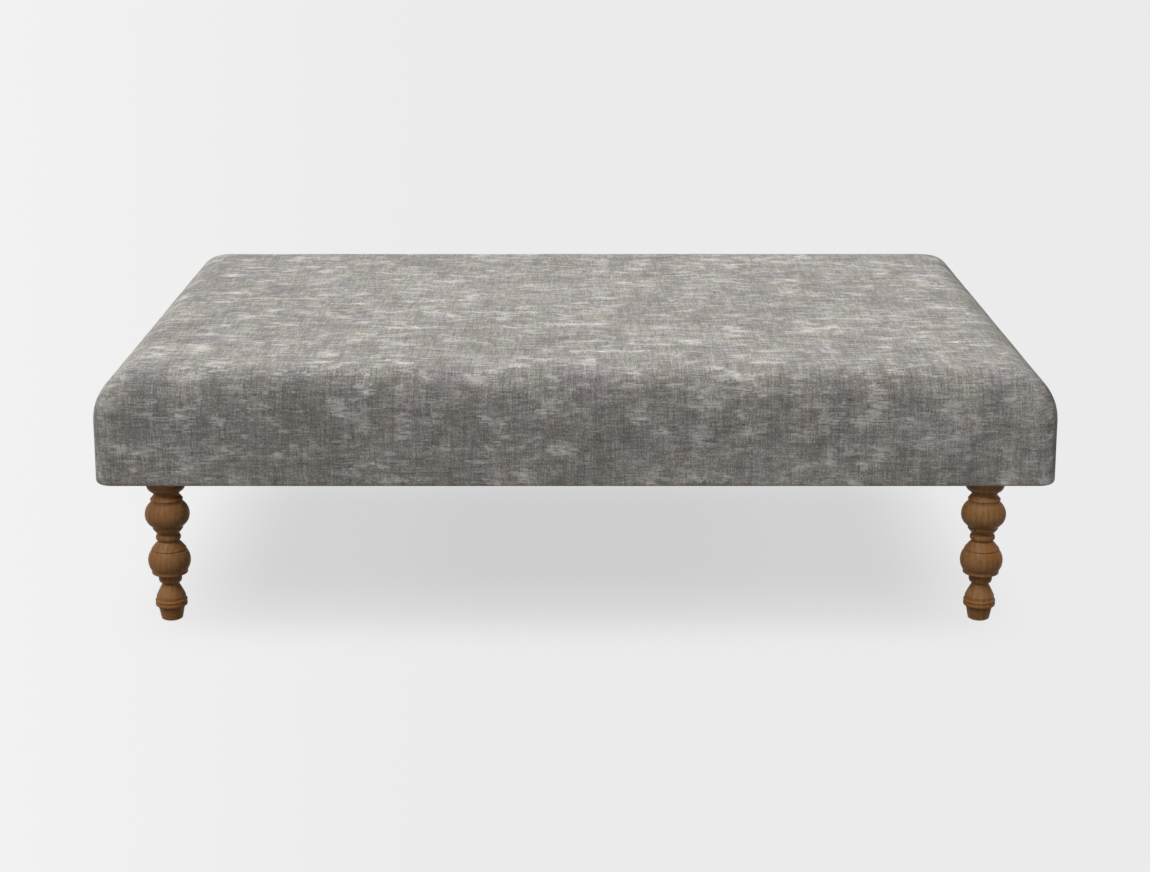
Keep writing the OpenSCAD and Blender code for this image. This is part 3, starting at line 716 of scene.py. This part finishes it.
def layClothFlat(piece, facts, plan, rows):
    # the map "cloth", in metres, gives each point's place on the flat cloth
    around = len(plan)
    downs = [0.0]
    for lower, upper in zip(rows[-2::-1], rows[:0:-1]):
        downs.append(downs[-1] + math.hypot(lower[0] - upper[0], lower[3] - upper[3]))
    downs = downs[::-1]
    places = []
    for i in range(len(rows) - 1):
        for j in range(around):
            k = (j + 1) % around
            side, share, turn = plan[j]
            nearSide = side if turn < 0.5 - 1e-6 else (side + 1) % 4
            for row, point in ((i, j), (i, k), (i + 1, k), (i + 1, j)):
                spot = plan[point]
                if spot[0] == (side + 1) % 4 and spot[1] == 0.0 and nearSide == side:
                    spot = (side, 1.0, 1.0)
                places.extend(clothPoint(facts, spot, nearSide, rows[row], downs[row], rows[-1]))
    mesh = piece.data
    for face in mesh.polygons[(len(rows) - 1) * around:]:
        for vertex in face.vertices:
            places.extend(mesh.vertices[vertex].co[:2])
    mesh.uv_layers.new(name="cloth").data.foreach_set("uv", places)
    return downs[0]


def swellCover(mesh, facts):
    # the padding under the taut cloth is a little uneven, and least so near the hem
    normals = [vertex.normal.copy() for vertex in mesh.vertices]
    for vertex, normal in zip(mesh.vertices, normals):
        swell = facts["evenSwell"]
        for scale, share in facts["swells"]:
            swell += share * noise.noise(vertex.co * scale)
        fade = smooth((vertex.co.z - coverLow.z) / facts["hemFade"])
        vertex.co += normal * facts["uneven"] * swell * fade


def makeCover(facts, soft):
    rows = coverRows(facts, soft)
    piece, plan = ringedPiece("coverCloth", soft, rows, facts["meshStep"], endRise=soft["crown"])
    drop = layClothFlat(piece, facts, plan, rows)
    swellCover(piece.data, facts)
    thicken(piece, soft["clothThick"], -1)
    dress(piece, makeCoverMaterial(fabricLook), "fabric_cover")
    # the flat cloth has a square cut out of each corner
    return piece


coverCloth = makeCover(cover, layers)
print("cover made:", len(coverCloth.data.polygons), "faces")

# Wadding and foam
padLook = {
    "meshStep": 14 * mm,
    "sideSteps": 4,
    "wadding": {"dark": (0.62, 0.62, 0.60), "light": (0.86, 0.86, 0.84), "rough": 0.95},
    # cells of foam in a metre
    "foam": {"dark": (0.60, 0.49, 0.27), "light": (0.84, 0.76, 0.52), "rough": 0.9, "cells": 900.0},
}


def makeWadding(facts, soft):
    gap = soft["gap"]
    under = coverLow.z + soft["clothThick"] + gap
    inside = [(frameHalf.x + gap, frameHalf.y + gap, soft["frameCorner"] + gap, under)]
    inside += rollRows(soft, gap, gap)
    out = soft["sideWadding"] - gap
    edge = soft["underEdge"] - soft["clothThick"] - gap
    roll = rollRows(soft, out, soft["topWadding"] - gap)
    side = sideRows(soft, out, coverLow.z + soft["underEdge"], roll[0][3], facts["sideSteps"])
    rows = inside[::-1] + underRows(soft, out, edge) + side + roll
    return ringedPiece("waddingLayer", soft, rows, facts["meshStep"], soft["crown"], soft["crown"])[0]


def makeFoam(facts, soft):
    roll = rollRows(soft, 0, 0)
    base = (roll[0][0], roll[0][1], soft["foamCorner"], foamLow.z)
    return ringedPiece("foamPad", soft, [base] + roll, facts["meshStep"], 0.0, soft["crown"])[0]


def makeFibreMaterial(look):
    # matted polyester fibre
    material, tree, shader = newMaterial("whiteFibre", {"Roughness": look["rough"], "Sheen Weight": 0.2})
    place = objectPlace(tree)
    strands = noiseAt(tree, place, (9, 1.6, 2.5), 3, 0.6, (3, 1, 2))
    crossing = noiseAt(tree, place, (1.6, 8, 2.5), 3, 0.6, (7, 4, 5))
    lumps = noiseAt(tree, place, (24, 24, 24), 2, 0.5, (1, 9, 4))
    fibres = math2(tree, "MAXIMUM", strands, crossing)
    height = weighted(tree, 0.5, [(fibres, 1.0), (lumps, 0.8)])
    paint(tree, shader, mixLook(tree, fibres, look), height, 1.2, 0.8)
    return material


def makeFoamMaterial(look):
    # open-cell foam
    material, tree, shader = newMaterial("creamFoam", {"Roughness": look["rough"]})
    place = objectPlace(tree)
    cells = makeNode(tree, "ShaderNodeTexVoronoi", {"Vector": place, "Scale": look["cells"]})
    hollow = spread(tree, cells["Distance"], 0.1, 0.6)
    patch = noiseAt(tree, place, (60, 60, 60), 2, 0.5)
    shade = weighted(tree, 0.45, [(hollow, 0.8), (patch, 0.5)])
    paint(tree, shader, mixLook(tree, shade, look), hollow, 0.4, 0.7)
    return material


waddingLayer = makeWadding(padLook, layers)
dress(waddingLayer, makeFibreMaterial(padLook["wadding"]), "wadding")
foamPad = makeFoam(padLook, layers)
dress(foamPad, makeFoamMaterial(padLook["foam"]), "foam_pad")
print("wadding and foam made")


# Helpers for Geometry Nodes
def newModifierTree(name, values):
    kinds = {int: "NodeSocketInt", float: "NodeSocketFloat"}
    return newTree(name, "GeometryNodeTree", {label: kinds[type(value)] for label, value in values.items()})


def setPlace(tree, geometry, **place):
    return makeNode(tree, "GeometryNodeSetPosition", {"Geometry": geometry, **place})[0]


def pointAxes(tree):
    return axesOf(tree, makeNode(tree, "GeometryNodeInputPosition")[0])


def paintAndEnd(tree, copies, material, shape=None):
    # makes the copies real, gives each point its place where a shape is given, and sets the material
    geometry = makeNode(tree, "GeometryNodeRealizeInstances", {"Geometry": copies})[0]
    if shape is not None:
        geometry = setPlace(tree, geometry, Position=shape)
    painted = makeNode(tree, "GeometryNodeSetMaterial", {"Geometry": geometry, "Material": material})[0]
    endTree(tree, {"Geometry": painted}, "NodeSocketGeometry")


def runTree(name, tree, values):
    piece = addPiece(name, [], [])
    modifier = piece.modifiers.new("tree", "NODES")
    modifier.node_group = tree
    for socket in tree.interface.items_tree:
        if socket.in_out == "INPUT":
            modifier[socket.identifier] = values[socket.name]
    finishModifiers(piece)
    piece.data.shade_smooth()
    return piece


# Webbing: straps that pass over and under each other, their ends folded back
webbing = {
    "Wide": 50 * mm,
    "Thick": 1.5 * mm,
    "Fold": 16 * mm,  # how far the folded ends reach back
    "Straight": 4 * mm,  # flat length beside each crossing
    "Steps": 480,  # along a strap
}
straps = {
    "lengthwise": 6,
    "crosswise": 8,
    "filled": 0.98,  # share of its level that a strap fills, so that crossing straps stay apart
}
juteLook ={"dark": (0.30, 0.21, 0.11), "light": (0.62, 0.48, 0.30), "rough": 0.92}


def makeStrapTree(values, material):
    tree, given = newModifierTree("strapWeave", values)
    work, plus, minus, times = mathFor(tree)
    thick, pitch, straight = given["Thick"], given["CrossingPitch"], given["Straight"]
    straightEnd = minus(given["Half"], thick)
    bendLong = times(thick, math.pi / 2)
    reach = plus(straightEnd, plus(bendLong, minus(given["Fold"], thick)))
    ribbon = makeNode(tree, "GeometryNodeMeshGrid", {
        "Size X": times(reach, 2), "Size Y": given["Wide"], "Vertices X": given["Steps"], "Vertices Y": 5,
    })[0]
    middleStrap = times(minus(given["Straps"], 1), 0.5)
    row = makeNode(tree, "GeometryNodeMeshLine", {
        "Count": given["Straps"], "Offset": vectorOf(tree, Y=given["StrapPitch"]),
        "Start Location": vectorOf(tree, Y=times(middleStrap, times(given["StrapPitch"], -1))),
    })[0]
    copies = makeNode(tree, "GeometryNodeInstanceOnPoints", {"Points": row, "Instance": ribbon})[0]
    place = pointAxes(tree)
    along, across = place["X"], place["Y"]
    far = work("ABSOLUTE", along)

    # over or under at the nearest crossing, and halfway to the next level between two; down on the rails
    middleCrossing = times(minus(given["Crossings"], 1), 0.5)
    nearest = work("ROUND", plus(work("DIVIDE", along, pitch), middleCrossing))
    nearest = work("MINIMUM", work("MAXIMUM", nearest, 0), minus(given["Crossings"], 1))
    away = work("ABSOLUTE", minus(along, times(minus(nearest, middleCrossing), pitch)))
    strap = work("ROUND", plus(work("DIVIDE", across, given["StrapPitch"]), middleStrap))
    over = work("FLOORED_MODULO", plus(plus(nearest, strap), given["First"]), 2)
    between = work("LESS_THAN", far, times(middleCrossing, pitch))
    flat = plus(times(given["Wide"], 0.5), straight)
    room = minus(times(pitch, 0.5), flat)
    slope = plus(minus(room, straight), times(between, plus(room, straight)))
    share = spread(tree, work("DIVIDE", minus(away, flat), slope, clamp=True), 0, 1)
    toward = times(minus(1, over), between)
    level = plus(over, times(minus(toward, over), share))

    # each end turns over and lies back on the strap
    past = work("MAXIMUM", minus(far, straightEnd), 0)
    turn = times(work("DIVIDE", past, bendLong, clamp=True), math.pi)
    bulge = times(work("SINE", turn), times(thick, 0.5))
    back = work("MAXIMUM", minus(past, bendLong), 0)
    reached = minus(plus(work("MINIMUM", far, straightEnd), bulge), back)
    lift = times(minus(1, work("COSINE", turn)), 0.5)
    x = times(reached, work("SIGN", along))
    z = plus(times(plus(level, lift), thick), given["Level"])
    turned, plain = given["Turned"], minus(1, given["Turned"])
    # a turned strap runs along Y
    shape = vectorOf(
        tree, X=minus(times(x, plain), times(across, turned)), Y=plus(times(across, plain), times(x, turned)),
        Z=z,
    )
    paintAndEnd(tree, copies, material, shape)
    return tree


def makeWebbingMaterial(name, lengthAxis, look):
    # jute strap with ribs across
    material, tree, shader = newMaterial(name, {"Roughness": look["rough"]})
    place = objectPlace(tree)
    long, short = (16, 1.4) if lengthAxis == "X" else (1.4, 16)
    strands = noiseAt(tree, place, (long, short, 4), 2, 0.6, (2, 3, 1))
    ribs = wavesAt(tree, place, 140.0, lengthAxis, 1.2)
    patch = noiseAt(tree, place, (40, 40, 40), 2, 0.5, (5, 5, 5))
    shade = weighted(tree, 0.5, [(strands, 0.9), (ribs, 0.35), (patch, 0.6)])
    height = weighted(tree, 0.5, [(strands, 0.8), (ribs, 0.6)])
    paint(tree, shader, mixLook(tree, shade, look), height, 0.5, 0.7)
    return material


innerX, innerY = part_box("right_rail")[0].x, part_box("rear_rail")[0].y
pitches = {"lengthwise": 2 * innerY / straps["lengthwise"], "crosswise": 2 * innerX / straps["crosswise"]}


def makeStraps(way, otherWay, lengthAxis, first):
    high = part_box(way + "_webbing")[1]
    material = makeWebbingMaterial("jute" + way.capitalize(), lengthAxis, juteLook)
    values = {
        **webbing, "Straps": straps[way], "StrapPitch": pitches[way], "Crossings": straps[otherWay],
        "CrossingPitch": pitches[otherWay], "First": first, "Turned": int(lengthAxis == "Y"),
        "Half": high.x if lengthAxis == "X" else high.y,
        "Level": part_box("lengthwise_webbing")[0].z + webbing["Thick"] / 2,
    }
    piece = runTree(way + "Straps", makeStrapTree(values, material), values)
    thicken(piece, webbing["Thick"] * straps["filled"], 0)
    dress(piece, material, way + "_webbing")
    return piece


lengthStraps = makeStraps("lengthwise", "crosswise", "X", 0)
# turned straps count from the other end, so the parity of their number keeps over against under
crossStraps = makeStraps("crosswise", "lengthwise", "Y", straps["crosswise"] % 2)
print("webbing made:", len(lengthStraps.data.polygons) + len(crossStraps.data.polygons), "faces")

# Hessian over the webbing and dust cover under the frame
cloths = {
    "hessianStep": 20 * mm,
    "dustStep": 12 * mm,
    "dustSag": 3.2 * mm,
    "sagPower": 0.8,  # under 1, a bay hangs flatter in its middle
    "ripple": 0.5 * mm,
    "ripples": 9,  # in a metre
    "cornerFlat": 20 * mm,  # flat this far past a corner block's edge
    "hessian": {"dark": (0.24, 0.16, 0.08), "light": (0.56, 0.42, 0.24), "rough": 0.95, "thread": 2.2},
    "dust": {"dark": (0.012, 0.012, 0.013), "light": (0.035, 0.035, 0.038), "rough": 0.85, "thread": 1.1},
}


def makeFlatCloth(name, nodeName, step, side, lift):
    # a grid that fills the node's box, thickened towards one side of its sheet
    low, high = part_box(nodeName)
    wide, deep = (max(2, round((high[k] - low[k]) / step)) for k in (0, 1))
    base = low.z if side > 0 else high.z
    across = [low.x + (high.x - low.x) * i / wide for i in range(wide + 1)]
    along = [low.y + (high.y - low.y) * j / deep for j in range(deep + 1)]
    points = [(x, y, base + lift(x, y)) for x in across for y in along]
    firsts = [i * (deep + 1) + j for i in range(wide) for j in range(deep)]
    faces = [(a, a + deep + 1, a + deep + 2, a + 1) for a in firsts]
    piece =addPiece(name, points, faces)
    thicken(piece, high.z - low.z, side)
    return piece


def dustSag(facts):
    # hangs a little in each bay between the rails, and stays flat under the corner blocks
    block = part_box("corner_block_front_right")[0]
    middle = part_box("middle_rail")[1].x
    margin, power, ripples = facts["cornerFlat"], facts["sagPower"], facts["ripples"]

    def lift(x, y):
        bay = (abs(x) - middle) / (innerX - middle)
        if not 0 < bay < 1 or abs(y) > innerY:
            return 0.0
        inside = (abs(x) - block.x + margin, abs(y) + block.y + margin)
        corner = smooth(inside[0] / (2 * margin)) * smooth(inside[1] / (2 * margin))
        hang = math.sin(math.pi * bay) ** power * math.cos(math.pi / 2 * y / innerY) ** power
        near = (1 - hang) * hang * 4
        wave = noise.noise(Vector((x * ripples, y * ripples, 3.7))) * facts["ripple"] * near
        return -(facts["dustSag"] * hang + wave + facts["ripple"] * near) * (1 - corner)

    return lift


def makeWovenMaterial(name, look):
    material, tree, shader = newMaterial(name, {"Roughness": look["rough"]})
    place = objectPlace(tree)
    scale = 0.31 / (look["thread"] * mm)
    bands = [wavesAt(tree, place, scale, axis, 1.0, shift) for axis, shift in (("X", 3), ("Y", 8))]
    weave = math2(tree, "MULTIPLY", *bands)
    patch = noiseAt(tree, place, (30, 30, 30), 3, 0.6, (4, 2, 7))
    shade = weighted(tree, 0.45, [(weave, 0.8), (patch, 0.6)])
    paint(tree, shader, mixLook(tree, shade, look), weave, 0.3, 0.6)
    return material


def layCloth(piece, material, nodeName):
    # gives the cloth its material, puts it on the root body and hides its imported node
    dress(piece, material, nodeName)


hessianCloth = makeFlatCloth("hessianCloth", "hessian", cloths["hessianStep"], 1, lambda x, y: 0.0)
layCloth(hessianCloth, makeWovenMaterial("brownHessian", cloths["hessian"]), "hessian")
dustCloth = makeFlatCloth("dustCloth", "dust_cover", cloths["dustStep"], -1, dustSag(cloths))
layCloth(dustCloth, makeWovenMaterial("blackDustCloth", cloths["dust"]), "dust_cover")
print("hessian and dust cover made")

# Wood, with its grain along one axis
turnedLook = {
    "dark": (0.150, 0.062, 0.018),
    "mid": (0.300, 0.138, 0.047),
    "light": (0.415, 0.212, 0.080),
    "red": (0.360, 0.138, 0.038),
    "redShare": 0.6,
    "rough": 0.52,
    # painted shade: the wood darkens towards its dark colour where the leg meets the seat, standing in for
    # the seat's shadow
    "seatShade": 0.75,
    "seatShadeAt": (coverLow.z - 18.5 * mm, coverLow.z - 16.5 * mm),
}
frameLook = {
    "dark": (0.42, 0.27, 0.13),
    "mid": (0.62, 0.44, 0.24),
    "light": (0.74, 0.57, 0.36),
    "red": (0.62, 0.38, 0.18),
    "redShare": 0.3,
    "rough": 0.7,
}
dowelLook = {
    "dark": (0.44, 0.28, 0.15),
    "mid": (0.60, 0.42, 0.25),
    "light": (0.70, 0.52, 0.33),
    "red": (0.58, 0.38, 0.22),
    "redShare": 0.2,
    "rough": 0.6,
}


def makeGrainGroup():
    # grain that runs along Z
    tree, given = newTree("woodGrain", "ShaderNodeTree", {"Place": "NodeSocketVector"})
    place = given["Place"]

    def vectorWork(operation, inputs):
        return makeNode(tree, "ShaderNodeVectorMath", inputs, operation=operation)[0]

    # the grain wanders a little
    bend = makeNode(tree, "ShaderNodeTexNoise", {"Vector": place, "Scale": 14.0, "Detail": 1.0})["Color"]
    drift = vectorWork("SUBTRACT", {0: bend, 1: (0.5, 0.5, 0.5)})
    bent = vectorWork("ADD", {0: place, 1: vectorWork("SCALE", {0: drift, "Scale": 0.012})})
    squash = {"Vector": bent, "Scale": (1, 0.5, 0.16), "Rotation": (0, 0.05, 0.3)}
    squashed = makeNode(tree, "ShaderNodeMapping", squash)[0]
    values = {"Vector": squashed, "Scale": 55.0, "Distortion": 2.5, "Detail": 2.0, "Detail Scale": 0.6}
    rings = makeNode(tree, "ShaderNodeTexWave", values, bands_direction="X", wave_profile="SAW")["Fac"]
    broad = noiseAt(tree, bent, (22, 22, 120), 2, 0.5)
    fine = noiseAt(tree, bent, (1.9, 1.9, 55), 3, 0.62, (5, 2, 8))
    pits = spread(tree, noiseAt(tree, bent, (0.6, 0.6, 11), 1, 0.5, (2, 9, 4)), 0.56, 0.72)
    endTree(tree, {
        "Tone": weighted(tree, 0.56, [(rings, 0.20), (broad, 0.6), (fine, 0.74), (pits, -0.30)]),
        "Blush": spread(tree, noiseAt(tree, place, (20, 20, 34), 2, 0.5, (7, 7, 3)), 0.42, 0.68),
        "Height": weighted(tree, 0.5, [(fine, 0.6), (pits, -0.8)]),
    })
    return tree


grainGroup = makeGrainGroup()


def makeWoodMaterial(name, look, turn=(0, 0, 0)):
    # turn, in degrees, lays the grain along the piece
    rough = look["rough"]
    material, tree, shader = newMaterial(name, {"Roughness": rough, "Specular IOR Level": 0.2})
    place = objectPlace(tree)
    angles = [math.radians(angle) for angle in turn]
    turned = makeNode(tree, "ShaderNodeMapping", {"Vector": place, "Rotation": angles})[0]
    grain = makeNode(tree, "ShaderNodeGroup", {"Place": turned}, node_tree=grainGroup)
    color = makeRamp(tree, grain["Tone"], look, 0.2, 0.55, 0.85)
    color = mixColor(tree, math2(tree, "MULTIPLY", grain["Blush"], look["redShare"]), color, look["red"])
    if "seatShade" in look:
        # painted shade of the seat on the top of the leg, darkening towards the wood's dark colour
        deep = spread(tree, axesOf(tree, place)["Z"], *look["seatShadeAt"], 0.0, look["seatShade"])
        color = mixColor(tree, deep, color, look["dark"])
    feed(tree, shader["Roughness"], spread(tree, grain["Tone"], 0.2, 0.9, rough + 0.12, rough - 0.06))
    paint(tree, shader, color, grain["Height"], 0.06, 0.5)
    return material


# Metal
metalLook = {
    "zinc": {"dark": (0.42, 0.43, 0.45), "light": (0.66, 0.67, 0.68), "rough": (0.28, 0.50)},
    "plated": {"dark": (0.56, 0.55, 0.53), "light": (0.74, 0.73, 0.71), "rough": (0.20, 0.38)},
}


def makeMetalMaterial(name, look):
    # bright plated steel with faint cloudy spangle and fine scratches
    material, tree, shader = newMaterial(name, {"Metallic": 1.0})
    place = objectPlace(tree)
    cloud = noiseAt(tree, place, (3.5, 3.5, 3.5), 3, 0.6)
    scratch = noiseAt(tree, place, (0.25, 6, 0.25), 2, 0.6, (4, 1, 3))
    shade = weighted(tree, 0.5, [(cloud, 1.2), (scratch, 0.6)])
    feed(tree, shader["Roughness"], spread(tree, shade, 0.25, 0.75, *look["rough"]))
    paint(tree, shader, mixLook(tree, shade, look), scratch, 0.03, 0.4)
    return material


turnedWood = makeWoodMaterial("turnedWood", turnedLook)
alongX = makeWoodMaterial("frameWoodLengthwise", frameLook, (0, 90, 0))
alongY = makeWoodMaterial("frameWoodCrosswise", frameLook, (90, 0, 0))
upright = makeWoodMaterial("frameWoodUpright", frameLook)
zinc = makeMetalMaterial("zincSteel", metalLook["zinc"])
# a node takes the first finish that has a start of its name
finishes = {
    ("foot_glides",): makeMetalMaterial("platedSteel", metalLook["plated"]),
    ("hanger_bolts", "plate_screws", "frame_screws", "leg_plate"): zinc,
    ("frame_dowels",): makeWoodMaterial("dowelWood", dowelLook, (0, 90, 0)),
    ("front_rail", "rear_rail"): alongX,
    ("left_rail", "right_rail", "middle_rail"): alongY,
    ("leg_",): turnedWood,
    ("corner_block",): upright,
}
for name, node in nodes.items():
    for starts, material in finishes.items():
        if name.startswith(starts):
            node.data.materials.clear()
            node.data.materials.append(material)
            break
print("materials made")

# Staples that hold the dust cover
staples = {
    "Wide": 11 * mm,
    "Wire": 0.8 * mm,
    "Sunk": 1.2 * mm,  # how far the bent ends reach into the cloth
    "Spacing": 42 * mm,
    "Tilt": 0.12,  # most that a staple is turned, in radians
    "Inset": 7 * mm,  # from the dust cover's edge
    "Seed": 7,
}


def makeStapleTree(values, material):
    # staples along a rectangle of the given size and level
    tree, given = newModifierTree("stapleRow", values)
    work, plus, minus, times = mathFor(tree)
    half = times(given["Wide"], 0.5)
    ends = {"Start": vectorOf(tree, X=times(half, -1)), "End": vectorOf(tree, X=half)}
    line = makeNode(tree, "GeometryNodeCurvePrimitiveLine", ends)[0]
    wire = makeNode(tree, "GeometryNodeResampleCurve", {"Curve": line, "Count": 17})[0]
    far = work("ABSOLUTE", pointAxes(tree)["X"])
    # the high power keeps the middle straight and bends the ends up
    lift = times(work("POWER", work("DIVIDE", far, half), 14), given["Sunk"])
    bent = setPlace(tree, wire, Offset=vectorOf(tree, Z=lift))
    circle = {"Radius": times(given["Wire"], 0.5), "Resolution": 8}
    section = makeNode(tree, "GeometryNodeCurvePrimitiveCircle", circle)[0]
    solid = {"Curve": bent, "Profile Curve": section, "Fill Caps": True}
    staple = makeNode(tree, "GeometryNodeCurveToMesh", solid)[0]

    wide, deep = (minus(given[side], times(given["Inset"], 2)) for side in ("Across", "Deep"))
    path = makeNode(tree, "GeometryNodeCurvePrimitiveQuadrilateral", {"Width": wide, "Height": deep})[0]
    spacing = {"Curve": path, "Length": given["Spacing"]}
    spots = makeNode(tree, "GeometryNodeResampleCurve", spacing, mode="LENGTH")[0]
    level = setPlace(tree, spots, Offset=vectorOf(tree, Z=given["Level"]))
    chance = makeNode(tree, "FunctionNodeRandomValue", {"Seed": given["Seed"]}, data_type="FLOAT")[1]
    tilt = times(minus(chance, 0.5), times(given["Tilt"], 2))
    # on the short sides a staple lies along Y
    atSide = work("GREATER_THAN", far, times(wide, 0.4995))
    turn = vectorOf(tree, Z=plus(tilt, times(atSide, math.pi / 2)))
    placed = {"Points": level, "Instance": staple, "Rotation": turn}
    copies = makeNode(tree, "GeometryNodeInstanceOnPoints", placed)[0]
    paintAndEnd(tree, copies, material)
    return tree


def makeStaples(facts, material):
    low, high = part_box("dust_cover")
    values = {**facts, "Across": high.x - low.x, "Deep": high.y - low.y, "Level": low.z - facts["Wire"] / 4}
    piece = runTree("dustCoverStaples", makeStapleTree(values, material), values)
    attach(piece, "root")
    return piece


dustCoverStaples = makeStaples(staples, zinc)
print("staples made:", len(dustCoverStaples.data.polygons), "faces")
